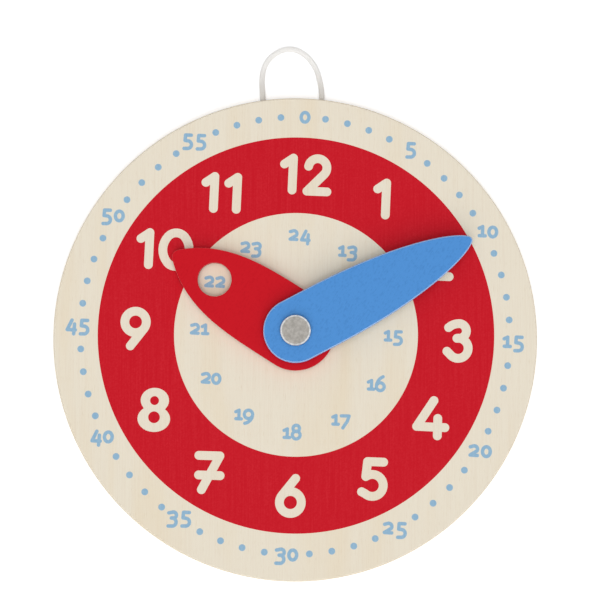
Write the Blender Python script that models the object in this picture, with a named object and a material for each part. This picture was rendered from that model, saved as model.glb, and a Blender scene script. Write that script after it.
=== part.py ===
"""Round plywood teaching clock with two turning hands, lying on its back.

Frame, in metres: +Z comes out of the dial, +Y points to twelve o'clock and +X to
three o'clock. The origin is the centre of the board, on its flat back.
"""

import math

import bmesh
import bpy
from mathutils import Matrix, Vector

# Board
BOARD_DIAMETER = 0.2150
BOARD_THICKNESS = 0.0060
RIM_ROUNDING = 0.0008
RECESS_DIAMETER = 0.0160

# Place of the pivot on the board, a little above its centre
PIVOT_X = 0.00015
PIVOT_Y = 0.0030

# Clearance between pieces that touch or run on each other
CLEARANCE = 0.0003

# How far a cutter runs past the face that it opens
OVERRUN = 0.0010

# Hands
HAND_THICKNESS = 0.0040
HAND_ROUNDING = 0.0007

# Each hand is a leaf: a round end about the bore, flanks that close along a power
# curve, and an arc that rounds the tip from tip share of the flank onwards
HOUR_LEAF_LENGTH = 0.0653
HOUR_HALF_WIDTH = 0.01745
HOUR_FLANK_START = 0.0010
HOUR_LEAF_POWERS = (3.6, 0.91)
HOUR_TIP_SHARE = 0.970
HOUR_CLOCKWISE_DEGREES = 302.5
WINDOW_DIAMETER = 0.0150
WINDOW_DISTANCE = 0.0425

MINUTE_LEAF_LENGTH = 0.0883
MINUTE_HALF_WIDTH = 0.0142
MINUTE_FLANK_START = 0.0133
MINUTE_LEAF_POWERS = (2.12, 0.64)
MINUTE_TIP_SHARE = 0.985
MINUTE_CLOCKWISE_DEGREES = 62.4

# Pivot: a hollow post with a flat head in front, closed by a screw from the back
POST_DIAMETER = 0.0055
POST_HEAD_DIAMETER = 0.0136
POST_HEAD_THICKNESS = 0.0018
POST_HEAD_CHAMFER = 0.0004
SCREW_DIAMETER = 0.0034
SCREW_GRIP = 0.0090
SCREW_HEAD_DIAMETER = 0.0105
SCREW_HEAD_THICKNESS = 0.0012
SCREW_HEAD_SINK = 0.0003
SLOT_WIDTH = 0.0010
SLOT_DEPTH = 0.0005

# Washers on the post
THIN_WASHER_THICKNESS = 0.0005
RUNNING_WASHER_DIAMETER = 0.0140
HEAD_WASHER_DIAMETER = 0.0110
BACK_WASHER_DIAMETER = 0.0130
WAVE_WASHER_DIAMETER = 0.0100
WAVE_WASHER_STRIP = 0.0003
WAVE_WASHER_HEIGHT = 0.0008
WAVE_COUNT = 3

# Hanging cord: out of the rim, down to the table, round the loop and back in
CORD_DIAMETER = 0.0026
CORD_POINT_STEP = 0.0055
CORD_ROUTE = [
    (-0.0144, 0.0948, 0.0030),
    (-0.0144, 0.1008, 0.0030),
    (-0.0144, 0.1068, 0.0030),
    (-0.0147, 0.1110, 0.0025),
    (-0.0149, 0.1152, 0.0018),
    (-0.0146, 0.1193, 0.0014),
    (-0.0136, 0.1227, 0.0013),
    (-0.0118, 0.1256, 0.0013),
    (-0.0093, 0.1279, 0.0013),
    (-0.0063, 0.1296, 0.0013),
    (-0.0032, 0.1303, 0.0013),
    (-0.0001, 0.1300, 0.0013),
    (0.0029, 0.1287, 0.0013),
    (0.0058, 0.1264, 0.0013),
    (0.0082, 0.1234, 0.0013),
    (0.0099, 0.1200, 0.0014),
    (0.0111, 0.1158, 0.0018),
    (0.0118, 0.1113, 0.0025),
    (0.0120, 0.1068, 0.0030),
    (0.0120, 0.1008, 0.0030),
    (0.0120, 0.0948, 0.0030),
]

# Steps round each kind of circle
BOARD_STEPS = 128
TURNED_STEPS = 48
BORE_STEPS = 32
WINDOW_STEPS = 48
HAND_END_STEPS = 28
HAND_FLANK_STEPS = 18
HAND_TIP_STEPS = 5
EDGE_STEPS = 3
CORD_CURVE_STEPS = 20
SHARP_ANGLE = math.radians(35.0)

# Finishes: colour as shares of full light, roughness and metallic value
PLYWOOD = ((0.78, 0.69, 0.55), 0.55, 0.0)
RED_PAINT = ((0.56, 0.014, 0.025), 0.45, 0.0)
BLUE_PAINT = ((0.084, 0.283, 0.637), 0.45, 0.0)
NICKEL = ((0.42, 0.40, 0.37), 0.30, 1.0)
ZINC = ((0.45, 0.45, 0.46), 0.40, 1.0)
SPRING_STEEL = ((0.25, 0.25, 0.26), 0.35, 1.0)
NYLON = ((0.70, 0.69, 0.65), 0.45, 0.0)
COTTON = ((0.78, 0.77, 0.74), 0.90, 0.0)

# Heights of the stack on the post, from the back of the board to the front
SCREW_HEAD_TOP = SCREW_HEAD_SINK + SCREW_HEAD_THICKNESS
POST_BOTTOM = SCREW_HEAD_TOP + CLEARANCE
WAVE_WASHER_BOTTOM = SCREW_HEAD_TOP + CLEARANCE
BACK_WASHER_BOTTOM = WAVE_WASHER_BOTTOM + WAVE_WASHER_HEIGHT + CLEARANCE
RECESS_DEPTH = BACK_WASHER_BOTTOM + THIN_WASHER_THICKNESS + CLEARANCE
DIAL_WASHER_BOTTOM = BOARD_THICKNESS + CLEARANCE
HOUR_HAND_BOTTOM = DIAL_WASHER_BOTTOM + THIN_WASHER_THICKNESS + CLEARANCE
HAND_WASHER_BOTTOM = HOUR_HAND_BOTTOM + HAND_THICKNESS + CLEARANCE
MINUTE_HAND_BOTTOM = HAND_WASHER_BOTTOM + THIN_WASHER_THICKNESS + CLEARANCE
HEAD_WASHER_BOTTOM = MINUTE_HAND_BOTTOM + HAND_THICKNESS + CLEARANCE
POST_HEAD_BOTTOM = HEAD_WASHER_BOTTOM + THIN_WASHER_THICKNESS + CLEARANCE
POST_HEAD_TOP = POST_HEAD_BOTTOM + POST_HEAD_THICKNESS
SCREW_TIP = POST_BOTTOM + SCREW_GRIP
POST_BORE_TOP = SCREW_TIP + CLEARANCE

# Bores that run on the post, and the post's own bore round the screw
RUNNING_BORE_RADIUS = POST_DIAMETER / 2 + CLEARANCE
POST_BORE_RADIUS = SCREW_DIAMETER / 2 + CLEARANCE
CORD_HOLE_RADIUS = CORD_DIAMETER / 2 + CLEARANCE


def clear_scene():
    """Remove every object, so that the script gives the same result each run."""
    for piece in list(bpy.data.objects):
        bpy.data.objects.remove(piece, do_unlink=True)


def finish(name, look):
    """Return a plain material of one of the finishes, named for its piece."""
    colour, roughness, metallic = look
    material = bpy.data.materials.new(name)
    material.use_nodes = True
    shader = material.node_tree.nodes["Principled BSDF"]
    shader.inputs["Base Color"].default_value = (*colour, 1.0)
    shader.inputs["Roughness"].default_value = roughness
    shader.inputs["Metallic"].default_value = metallic
    material.diffuse_color = (*colour, 1.0)
    return material


def place(name, data):
    """Put mesh or curve data into the scene as an object."""
    piece = bpy.data.objects.new(name, data)
    bpy.context.scene.collection.objects.link(piece)
    return piece


def mesh_piece(name, shape, material):
    """Turn a bmesh into a smooth-shaded object with one material."""
    bmesh.ops.recalc_face_normals(shape, faces=shape.faces)
    mesh = bpy.data.meshes.new(name)
    shape.to_mesh(mesh)
    shape.free()
    if material:
        mesh.materials.append(material)
    mesh.shade_smooth()
    mesh.set_sharp_from_angle(angle=SHARP_ANGLE)
    return place(name, mesh)


def on_pivot(piece):
    """Move a piece that is made round Z onto the pivot's axis."""
    piece.location = (PIVOT_X, PIVOT_Y, 0.0)
    return piece


def cut(piece, cutter):
    """Take a hidden cutter out of a piece with a Boolean modifier."""
    cutter.parent = piece
    cutter.hide_render = True
    cutter.display_type = "WIRE"
    boolean = piece.modifiers.new(cutter.name, "BOOLEAN")
    boolean.operation = "DIFFERENCE"
    boolean.solver = "EXACT"
    boolean.object = cutter


def rod(radius, low, high, steps, x=0.0, y=0.0):
    """Return a closed upright cylinder between two heights, as a bmesh."""
    shape = bmesh.new()
    bmesh.ops.create_cone(
        shape,
        cap_ends=True,
        segments=steps,
        radius1=radius,
        radius2=radius,
        depth=high - low,
        matrix=Matrix.Translation((x, y, (low + high) / 2)),
    )
    return shape


def turned(profile):
    """Spin a closed outline of (radius, height) points round Z, as a bmesh."""
    shape = bmesh.new()
    corners = [shape.verts.new((radius, 0.0, height)) for radius, height in profile]
    outline = [
        shape.edges.new((corner, corners[(index + 1) % len(corners)]))
        for index, corner in enumerate(corners)
    ]
    bmesh.ops.spin(
        shape,
        geom=corners + outline,
        cent=(0.0, 0.0, 0.0),
        axis=(0.0, 0.0, 1.0),
        angle=math.tau,
        steps=TURNED_STEPS,
        use_duplicate=False,
    )
    bmesh.ops.remove_doubles(shape, verts=shape.verts, dist=CLEARANCE / 10)
    on_axis = [edge for edge in shape.edges if not edge.link_faces]
    bmesh.ops.delete(shape, geom=on_axis, context="EDGES")
    return shape


def flat_washer(name, diameter, bottom, material):
    """Make a flat washer that runs on the post."""
    top = bottom + THIN_WASHER_THICKNESS
    profile = [
        (RUNNING_BORE_RADIUS, bottom),
        (diameter / 2, bottom),
        (diameter / 2, top),
        (RUNNING_BORE_RADIUS, top),
    ]
    return on_pivot(mesh_piece(name, turned(profile), material))


def wave_washer(material):
    """Make the spring washer: a thin ring whose height rises and falls round it."""
    rise = (WAVE_WASHER_HEIGHT - WAVE_WASHER_STRIP) / 2
    section = [
        (RUNNING_BORE_RADIUS, 0.0),
        (WAVE_WASHER_DIAMETER / 2, 0.0),
        (WAVE_WASHER_DIAMETER / 2, WAVE_WASHER_STRIP),
        (RUNNING_BORE_RADIUS, WAVE_WASHER_STRIP),
    ]
    shape = bmesh.new()
    rings = []
    for step in range(TURNED_STEPS):
        angle = math.tau * step / TURNED_STEPS
        base = WAVE_WASHER_BOTTOM + rise * (1 + math.cos(WAVE_COUNT * angle))
        rings.append([
            shape.verts.new((radius * math.cos(angle), radius * math.sin(angle), base + height))
            for radius, height in section
        ])
    for step, ring in enumerate(rings):
        following = rings[(step + 1) % TURNED_STEPS]
        for corner in range(len(section)):
            beside = (corner + 1) % len(section)
            shape.faces.new((ring[corner], ring[beside], following[beside], following[corner]))
    return on_pivot(mesh_piece("wave_washer", shape, material))


def dial_board(material):
    """Make the round board, with its pivot bore, back recess and two cord holes."""
    shape = rod(BOARD_DIAMETER / 2, 0.0, BOARD_THICKNESS, BOARD_STEPS)
    rim = [edge for edge in shape.edges if len({vert.co.z for vert in edge.verts}) == 1]
    bmesh.ops.bevel(
        shape,
        geom=rim,
        offset=RIM_ROUNDING,
        segments=EDGE_STEPS,
        profile=0.5,
        affect="EDGES",
    )
    board = mesh_piece("dial_board", shape, material)

    bore = rod(
        RUNNING_BORE_RADIUS, -OVERRUN, BOARD_THICKNESS + OVERRUN, BORE_STEPS, PIVOT_X, PIVOT_Y
    )
    cut(board, mesh_piece("board_bore_cutter", bore, None))
    recess = rod(RECESS_DIAMETER / 2, -OVERRUN, RECESS_DEPTH, TURNED_STEPS, PIVOT_X, PIVOT_Y)
    cut(board, mesh_piece("board_recess_cutter", recess, None))

    for side, cord_end in (("left", CORD_ROUTE[0]), ("right", CORD_ROUTE[-1])):
        floor = cord_end[1] - CLEARANCE
        hole = rod(CORD_HOLE_RADIUS, floor, BOARD_DIAMETER / 2 + OVERRUN, BORE_STEPS)
        lay_along_y = Matrix.Rotation(-math.pi / 2, 4, "X")
        bmesh.ops.transform(hole, matrix=lay_along_y, verts=hole.verts)
        bmesh.ops.translate(hole, vec=(cord_end[0], 0.0, cord_end[2]), verts=hole.verts)
        cut(board, mesh_piece(f"cord_hole_cutter_{side}", hole, None))
    return board


def leaf_flank(share, length, half_width, flank_start, powers):
    """Return half width, height and slope of a leaf's flank, share 0 to 1 along it."""
    fall, close = powers
    run = length - flank_start
    left = 1 - share ** fall
    slope = -half_width * close * fall * share ** (fall - 1) * left ** (close - 1) / run
    return half_width * left ** close, flank_start + run * share, slope


def hand_outline(length, half_width, flank_start, powers, tip_share):
    """Return a hand's outline as (across, along) points, with the bore at zero."""
    round_end = []
    for step in range(HAND_END_STEPS + 1):
        angle = math.pi + math.pi * step / HAND_END_STEPS
        round_end.append((half_width * math.cos(angle), half_width * math.sin(angle)))

    flank = []
    for step in range(HAND_FLANK_STEPS + 1):
        share = tip_share * math.sin(math.pi / 2 * step / HAND_FLANK_STEPS)
        across, along, slope = leaf_flank(share, length, half_width, flank_start, powers)
        flank.append((across, along))

    # The tip's arc touches both flanks, so its centre is where their normals meet
    tip_centre = along + across * slope
    tip_radius = across * math.hypot(1.0, slope)
    start_angle = math.atan(-slope)
    for step in range(1, HAND_TIP_STEPS + 1):
        angle = start_angle + (math.pi / 2 - start_angle) * step / HAND_TIP_STEPS
        flank.append((tip_radius * math.cos(angle), tip_centre + tip_radius * math.sin(angle)))

    far_flank = [(-across, along) for across, along in reversed(flank[:-1])]
    return round_end + flank + far_flank


def clock_hand(name, outline, bottom, clockwise_degrees, material):
    """Make a hand with a running bore, turned clockwise from twelve o'clock."""
    top = bottom + HAND_THICKNESS
    shape = bmesh.new()
    face = shape.faces.new([shape.verts.new((across, along, bottom)) for across, along in outline])
    raised = bmesh.ops.extrude_face_region(shape, geom=[face])
    lifted = [item for item in raised["geom"] if isinstance(item, bmesh.types.BMVert)]
    bmesh.ops.translate(shape, vec=(0.0, 0.0, HAND_THICKNESS), verts=lifted)
    hand = mesh_piece(name, shape, material)

    bore = rod(RUNNING_BORE_RADIUS, bottom - OVERRUN, top + OVERRUN, BORE_STEPS)
    cut(hand, mesh_piece(f"{name}_bore_cutter", bore, None))
    hand.rotation_euler = (0.0, 0.0, -math.radians(clockwise_degrees))
    return on_pivot(hand)


def ease_edges(piece):
    """Round a flat piece's outer and inner edges."""
    bevel = piece.modifiers.new("eased_edges", "BEVEL")
    bevel.width = HAND_ROUNDING
    bevel.segments = EDGE_STEPS
    bevel.limit_method = "ANGLE"
    bevel.angle_limit = math.radians(60.0)


def hour_hand(material):
    """Make the hour hand, with the window that shows the 24-hour number."""
    outline = hand_outline(
        HOUR_LEAF_LENGTH, HOUR_HALF_WIDTH, HOUR_FLANK_START, HOUR_LEAF_POWERS, HOUR_TIP_SHARE
    )
    hand = clock_hand(
        "hour_hand", outline, HOUR_HAND_BOTTOM, HOUR_CLOCKWISE_DEGREES, material
    )
    window = rod(
        WINDOW_DIAMETER / 2,
        HOUR_HAND_BOTTOM - OVERRUN,
        HOUR_HAND_BOTTOM + HAND_THICKNESS + OVERRUN,
        WINDOW_STEPS,
        y=WINDOW_DISTANCE,
    )
    cut(hand, mesh_piece("window_cutter", window, None))
    ease_edges(hand)
    return hand


def minute_hand(material):
    """Make the minute hand, which runs above the hour hand."""
    outline = hand_outline(
        MINUTE_LEAF_LENGTH,
        MINUTE_HALF_WIDTH,
        MINUTE_FLANK_START,
        MINUTE_LEAF_POWERS,
        MINUTE_TIP_SHARE,
    )
    hand = clock_hand(
        "minute_hand", outline, MINUTE_HAND_BOTTOM, MINUTE_CLOCKWISE_DEGREES, material
    )
    ease_edges(hand)
    return hand


def pivot_post(material):
    """Make the hollow post with its flat chamfered head."""
    head = POST_HEAD_DIAMETER / 2
    profile = [
        (0.0, POST_HEAD_TOP),
        (head - POST_HEAD_CHAMFER, POST_HEAD_TOP),
        (head, POST_HEAD_TOP - POST_HEAD_CHAMFER),
        (head, POST_HEAD_BOTTOM),
        (POST_DIAMETER / 2, POST_HEAD_BOTTOM),
        (POST_DIAMETER / 2, POST_BOTTOM),
        (POST_BORE_RADIUS, POST_BOTTOM),
        (POST_BORE_RADIUS, POST_BORE_TOP),
        (0.0, POST_BORE_TOP),
    ]
    return on_pivot(mesh_piece("pivot_post", turned(profile), material))


def pivot_screw(material):
    """Make the screw that closes the post from the back, with a slot across its head."""
    head = SCREW_HEAD_DIAMETER / 2
    profile = [
        (0.0, SCREW_HEAD_SINK),
        (head, SCREW_HEAD_SINK),
        (head, SCREW_HEAD_TOP),
        (SCREW_DIAMETER / 2, SCREW_HEAD_TOP),
        (SCREW_DIAMETER / 2, SCREW_TIP),
        (0.0, SCREW_TIP),
    ]
    screw = mesh_piece("pivot_screw", turned(profile), material)
    slot = bmesh.new()
    size = (SLOT_WIDTH, SCREW_HEAD_DIAMETER + OVERRUN, 2 * SLOT_DEPTH)
    bmesh.ops.create_cube(slot, size=1.0, matrix=Matrix.Diagonal((*size, 1.0)))
    bmesh.ops.translate(slot, vec=(0.0, 0.0, SCREW_HEAD_SINK), verts=slot.verts)
    cut(screw, mesh_piece("slot_cutter", slot, None))
    return on_pivot(screw)


def smooth_route(points, step):
    """Return points about one step apart on a smooth curve through the given points."""
    knots = [Vector(point) for point in points]
    knots = [2 * knots[0] - knots[1], *knots, 2 * knots[-1] - knots[-2]]
    fine = []
    for before, start, end, after in zip(knots, knots[1:], knots[2:], knots[3:]):
        for part in range(CORD_CURVE_STEPS):
            share = part / CORD_CURVE_STEPS
            fine.append(
                start
                + share * (end - before) / 2
                + share ** 2 * (before - 2.5 * start + 2 * end - after / 2)
                + share ** 3 * (1.5 * (start - end) + (after - before) / 2)
            )
    fine.append(knots[-2])
    lengths = [0.0]
    for first, second in zip(fine, fine[1:]):
        lengths.append(lengths[-1] + (second - first).length)
    count = round(lengths[-1] / step)
    route = []
    for index in range(count):
        wanted = lengths[-1] * index / count
        near = max(spot for spot, length in enumerate(lengths) if length <= wanted)
        rest = (wanted - lengths[near]) / (lengths[near + 1] - lengths[near])
        route.append(fine[near].lerp(fine[near + 1], rest))
    route.append(fine[-1])
    return route


def hanging_cord(material):
    """Make the cord loop whose two ends are glued into the rim."""
    route = smooth_route(CORD_ROUTE, CORD_POINT_STEP)
    curve = bpy.data.curves.new("hanging_cord", "CURVE")
    curve.dimensions = "3D"
    curve.bevel_depth = CORD_DIAMETER / 2
    curve.bevel_resolution = 2
    curve.use_fill_caps = True
    spline = curve.splines.new("POLY")
    spline.points.add(len(route) - 1)
    for point, position in zip(spline.points, route):
        point.co = (*position, 1.0)
    curve.materials.append(material)
    return place("hanging_cord", curve)


def build_clock():
    """Build every piece of the clock with its own material."""
    clear_scene()
    dial_board(finish("birch plywood", PLYWOOD))
    hour_hand(finish("red painted plywood", RED_PAINT))
    minute_hand(finish("blue painted plywood", BLUE_PAINT))
    pivot_post(finish("nickel-plated post", NICKEL))
    pivot_screw(finish("nickel-plated screw", NICKEL))
    wave_washer(finish("spring steel wave washer", SPRING_STEEL))
    for name, diameter, bottom, look in (
        ("back_washer", BACK_WASHER_DIAMETER, BACK_WASHER_BOTTOM, ZINC),
        ("dial_washer", RUNNING_WASHER_DIAMETER, DIAL_WASHER_BOTTOM, NYLON),
        ("hand_washer", RUNNING_WASHER_DIAMETER, HAND_WASHER_BOTTOM, NYLON),
        ("head_washer", HEAD_WASHER_DIAMETER, HEAD_WASHER_BOTTOM, NYLON),
    ):
        flat_washer(name, diameter, bottom, finish(name, look))
    hanging_cord(finish("braided cotton cord", COTTON))


build_clock()
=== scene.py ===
"""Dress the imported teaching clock: printed birch board, painted hands, pivot and cord.

Frame, in metres: +Z comes out of the dial, +Y points to twelve o'clock and +X to three
o'clock. The origin is the centre of the board, on its flat back.
"""

import logging
import math
from collections.abc import Callable, Iterator, Sequence
from contextlib import contextmanager
from dataclasses import dataclass, field
from enum import Enum

import bmesh
import bpy
from mathutils import Matrix, Vector


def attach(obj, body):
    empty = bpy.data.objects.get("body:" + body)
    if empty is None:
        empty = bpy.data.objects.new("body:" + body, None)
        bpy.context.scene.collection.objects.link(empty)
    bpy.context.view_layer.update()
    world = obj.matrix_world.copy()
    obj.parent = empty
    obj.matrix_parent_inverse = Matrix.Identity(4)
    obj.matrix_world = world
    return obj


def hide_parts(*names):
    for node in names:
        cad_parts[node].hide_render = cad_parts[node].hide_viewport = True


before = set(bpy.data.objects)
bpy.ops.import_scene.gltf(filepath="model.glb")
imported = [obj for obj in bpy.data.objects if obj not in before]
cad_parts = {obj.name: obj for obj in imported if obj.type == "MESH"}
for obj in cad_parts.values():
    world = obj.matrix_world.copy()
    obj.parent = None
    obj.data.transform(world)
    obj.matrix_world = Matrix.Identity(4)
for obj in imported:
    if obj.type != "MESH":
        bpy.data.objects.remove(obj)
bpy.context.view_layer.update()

MM = 0.001

# Steps round a bore, round the window and the recess, and round a dot or a cord hole
BORE_STEPS = 64
WIDE_HOLE_STEPS = 96
SMALL_ROUND_STEPS = 32

# Least share of its normal that a face has along the way that it is said to face
FLAT = 0.99

# Faces of the board that lean more than this are its rim
RIM_SLOPE = 0.7

# Edges under this angle are shaded smooth
SMOOTH_DEGREES = 40.0

Point = tuple[float, float]
Colour = tuple[float, float, float, float]
log = logging.getLogger("clock")


# Helpers for colours and nodes


def linear(hex_colour: str) -> Colour:
    """Turn an sRGB hex colour into linear light.

    Args:
        hex_colour: Colour as "#RRGGBB".

    Returns:
        Red, green, blue and a full alpha.
    """
    shares = [int(hex_colour[start:start + 2], 16) / 255 for start in (1, 3, 5)]
    red, green, blue = (
        share / 12.92 if share <= 0.04045 else ((share + 0.055) / 1.055) ** 2.4 for share in shares
    )
    return red, green, blue, 1.0


def add_node(
    tree: bpy.types.NodeTree,
    kind: str,
    inputs: dict[str | int, object] | None = None,
    stops: Sequence[tuple[float, str]] = (),
    **settings: object,
) -> bpy.types.Node:
    """Add a node with its settings, its values and the links into it.

    Args:
        tree: Node tree that takes the node.
        kind: Blender's name of the node type.
        inputs: Value or linked output for each input socket.
        stops: Place and hex colour of each stop, where the node holds a ramp.
        settings: Attributes to set on the node itself.

    Returns:
        The new node.
    """
    node = tree.nodes.new(kind)
    for name, value in settings.items():
        setattr(node, name, value)
    for socket, value in (inputs or {}).items():
        if isinstance(value, bpy.types.NodeSocket):
            tree.links.new(value, node.inputs[socket])
        else:
            node.inputs[socket].default_value = value
    for index, (place, hex_colour) in enumerate(stops):
        ramp = node.color_ramp.elements
        stop = ramp[index] if index < len(ramp) else ramp.new(place)
        stop.position = place
        stop.color = linear(hex_colour)
    return node


# Finishes


@dataclass(frozen=True)
class Finish:
    """What every finish shares: its name, its gloss and how deep its relief is."""

    name: str
    roughness: float
    relief_mm: float = 0.0
    gloss: float = 0.5

    def start(self) -> tuple[bpy.types.Material, bpy.types.NodeTree, bpy.types.Node]:
        """Make the bare material.

        Returns:
            The material, its node tree and its shader.
        """
        material = bpy.data.materials.new(self.name)
        material.use_nodes = True
        tree = material.node_tree
        shader = tree.nodes["Principled BSDF"]
        shader.inputs["Roughness"].default_value = self.roughness
        shader.inputs["Specular IOR Level"].default_value = self.gloss
        return material, tree, shader

    def noise(
        self,
        tree: bpy.types.NodeTree,
        grain_mm: tuple[float, float, float],
        detail: float = 2.0,
        turn: float = 0.0,
        distortion: float = 0.0,
    ) -> bpy.types.NodeSocket:
        """Add noise whose lumps have a real size along each axis.

        Args:
            tree: Node tree that takes the nodes.
            grain_mm: Size of a lump along X, Y and Z, in millimetres.
            detail: How many finer layers the noise holds.
            turn: Turn of the pattern about Z, in radians.
            distortion: How far the lumps are bent.

        Returns:
            The noise's value, from 0 to 1.
        """
        where = add_node(tree, "ShaderNodeTexCoord").outputs["Object"]
        turned = add_node(tree, "ShaderNodeMapping", {"Vector": where, "Rotation": (0.0, 0.0, turn)})
        scale = tuple(1.0 / (size * MM) for size in grain_mm)
        sized = add_node(tree, "ShaderNodeMapping", {"Vector": turned.outputs[0], "Scale": scale})
        lumps = add_node(
            tree,
            "ShaderNodeTexNoise",
            {"Vector": sized.outputs[0], "Scale": 1.0, "Detail": detail, "Distortion": distortion},
        )
        return lumps.outputs["Fac"]

    def emboss(
        self, tree: bpy.types.NodeTree, shader: bpy.types.Node, height: bpy.types.NodeSocket
    ) -> None:
        """Let a pattern stand up from the surface by the finish's relief.

        Args:
            tree: Node tree of the material.
            shader: Shader whose normal is bent.
            height: Pattern that gives the height.
        """
        bump = add_node(
            tree, "ShaderNodeBump", {"Strength": 1.0, "Distance": self.relief_mm * MM, "Height": height}
        )
        tree.links.new(bump.outputs["Normal"], shader.inputs["Normal"])


@dataclass(frozen=True)
class BirchVeneer(Finish):
    """Rotary-cut birch, sanded and sealed matt: cream with fine long streaks and flecks."""

    pale: str = "#E6DDCB"
    deep: str = "#E2D7C4"
    warm: str = "#E2CEAB"
    fleck: str = "#C3AD88"
    streak_mm: tuple[float, float, float] = (0.6, 26.0, 1.2)
    band_mm: tuple[float, float, float] = (14.0, 90.0, 20.0)
    # Birch pores are a tenth of this width; drawn coarser so that they show
    pore_mm: tuple[float, float, float] = (0.3, 4.0, 0.4)

    def material(self) -> bpy.types.Material:
        """Build the veneer with its streaks, broad bands and pores."""
        material, tree, shader = self.start()
        streaks = self.noise(tree, self.streak_mm, detail=3.0, distortion=0.25)
        bands = self.noise(tree, self.band_mm, detail=2.0)
        pores = self.noise(tree, self.pore_mm, detail=1.0)
        base = add_node(
            tree, "ShaderNodeValToRGB", {"Fac": streaks}, stops=((0.22, self.deep), (0.58, self.pale))
        )
        warmth = add_node(
            tree,
            "ShaderNodeMapRange",
            {"Value": bands, "From Min": 0.50, "From Max": 0.80, "To Max": 0.40},
        )
        warmed = add_node(
            tree,
            "ShaderNodeMix",
            {0: warmth.outputs[0], 6: base.outputs[0], 7: linear(self.warm)},
            data_type="RGBA",
        )
        open_pores = add_node(
            tree,
            "ShaderNodeMapRange",
            {"Value": pores, "From Min": 0.62, "From Max": 0.80, "To Max": 0.30},
        )
        flecked = add_node(
            tree,
            "ShaderNodeMix",
            {0: open_pores.outputs[0], 6: warmed.outputs[2], 7: linear(self.fleck)},
            data_type="RGBA",
        )
        tree.links.new(flecked.outputs[2], shader.inputs["Base Color"])
        self.emboss(tree, shader, streaks)
        return material


@dataclass(frozen=True)
class BirchPlyEdge(Finish):
    """Sawn and sanded edge of birch ply: pale long grain between browner end grain."""

    long_grain: str = "#DFCDA9"
    end_grain: str = "#B79468"
    glue: str = "#7A5A3A"
    layer_mm: float = 1.2
    grain_mm: tuple[float, float, float] = (1.6, 1.6, 0.12)

    def material(self) -> bpy.types.Material:
        """Build the edge, whose layers are read from the height in the board."""
        material, tree, shader = self.start()
        where = add_node(tree, "ShaderNodeTexCoord").outputs["Object"]
        height = add_node(tree, "ShaderNodeSeparateXYZ", {"Vector": where}).outputs["Z"]
        layer = add_node(
            tree, "ShaderNodeMath", {0: height, 1: 2 * self.layer_mm * MM}, operation="DIVIDE"
        )
        place = add_node(tree, "ShaderNodeMath", {0: layer.outputs[0]}, operation="FRACT")
        plies = add_node(
            tree,
            "ShaderNodeValToRGB",
            {"Fac": place.outputs[0]},
            stops=(
                (0.00, self.glue),
                (0.03, self.long_grain),
                (0.47, self.long_grain),
                (0.50, self.glue),
                (0.53, self.end_grain),
                (0.97, self.end_grain),
                (1.00, self.glue),
            ),
        )
        fibres = self.noise(tree, self.grain_mm, detail=3.0)
        shade = add_node(
            tree,
            "ShaderNodeMapRange",
            {"Value": fibres, "From Min": 0.3, "From Max": 0.7, "To Min": 0.82, "To Max": 1.08},
        )
        toned = add_node(
            tree,
            "ShaderNodeVectorMath",
            {0: plies.outputs[0], "Scale": shade.outputs[0]},
            operation="SCALE",
        )
        tree.links.new(toned.outputs[0], shader.inputs["Base Color"])
        self.emboss(tree, shader, fibres)
        return material


@dataclass(frozen=True)
class ScreenInk(Finish):
    """Screen-printed ink on sanded wood: an even colour with the grain just showing."""

    ink: str = "#C21423"
    thin: str = "#C9212D"
    streak_mm: tuple[float, float, float] = (0.6, 26.0, 1.2)
    speckle_mm: float = 0.7

    def material(self) -> bpy.types.Material:
        """Build the ink, thinner along the wood's streaks and in fine speckles."""
        material, tree, shader = self.start()
        streaks = self.noise(tree, self.streak_mm, detail=3.0, distortion=0.25)
        speckle = self.noise(tree, (self.speckle_mm,) * 3, detail=2.0)
        both = add_node(tree, "ShaderNodeMath", {0: streaks, 1: speckle}, operation="MULTIPLY")
        tone = add_node(
            tree,
            "ShaderNodeValToRGB",
            {"Fac": both.outputs[0]},
            stops=((0.18, self.ink), (0.42, self.thin)),
        )
        tree.links.new(tone.outputs[0], shader.inputs["Base Color"])
        self.emboss(tree, shader, streaks)
        return material


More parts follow.
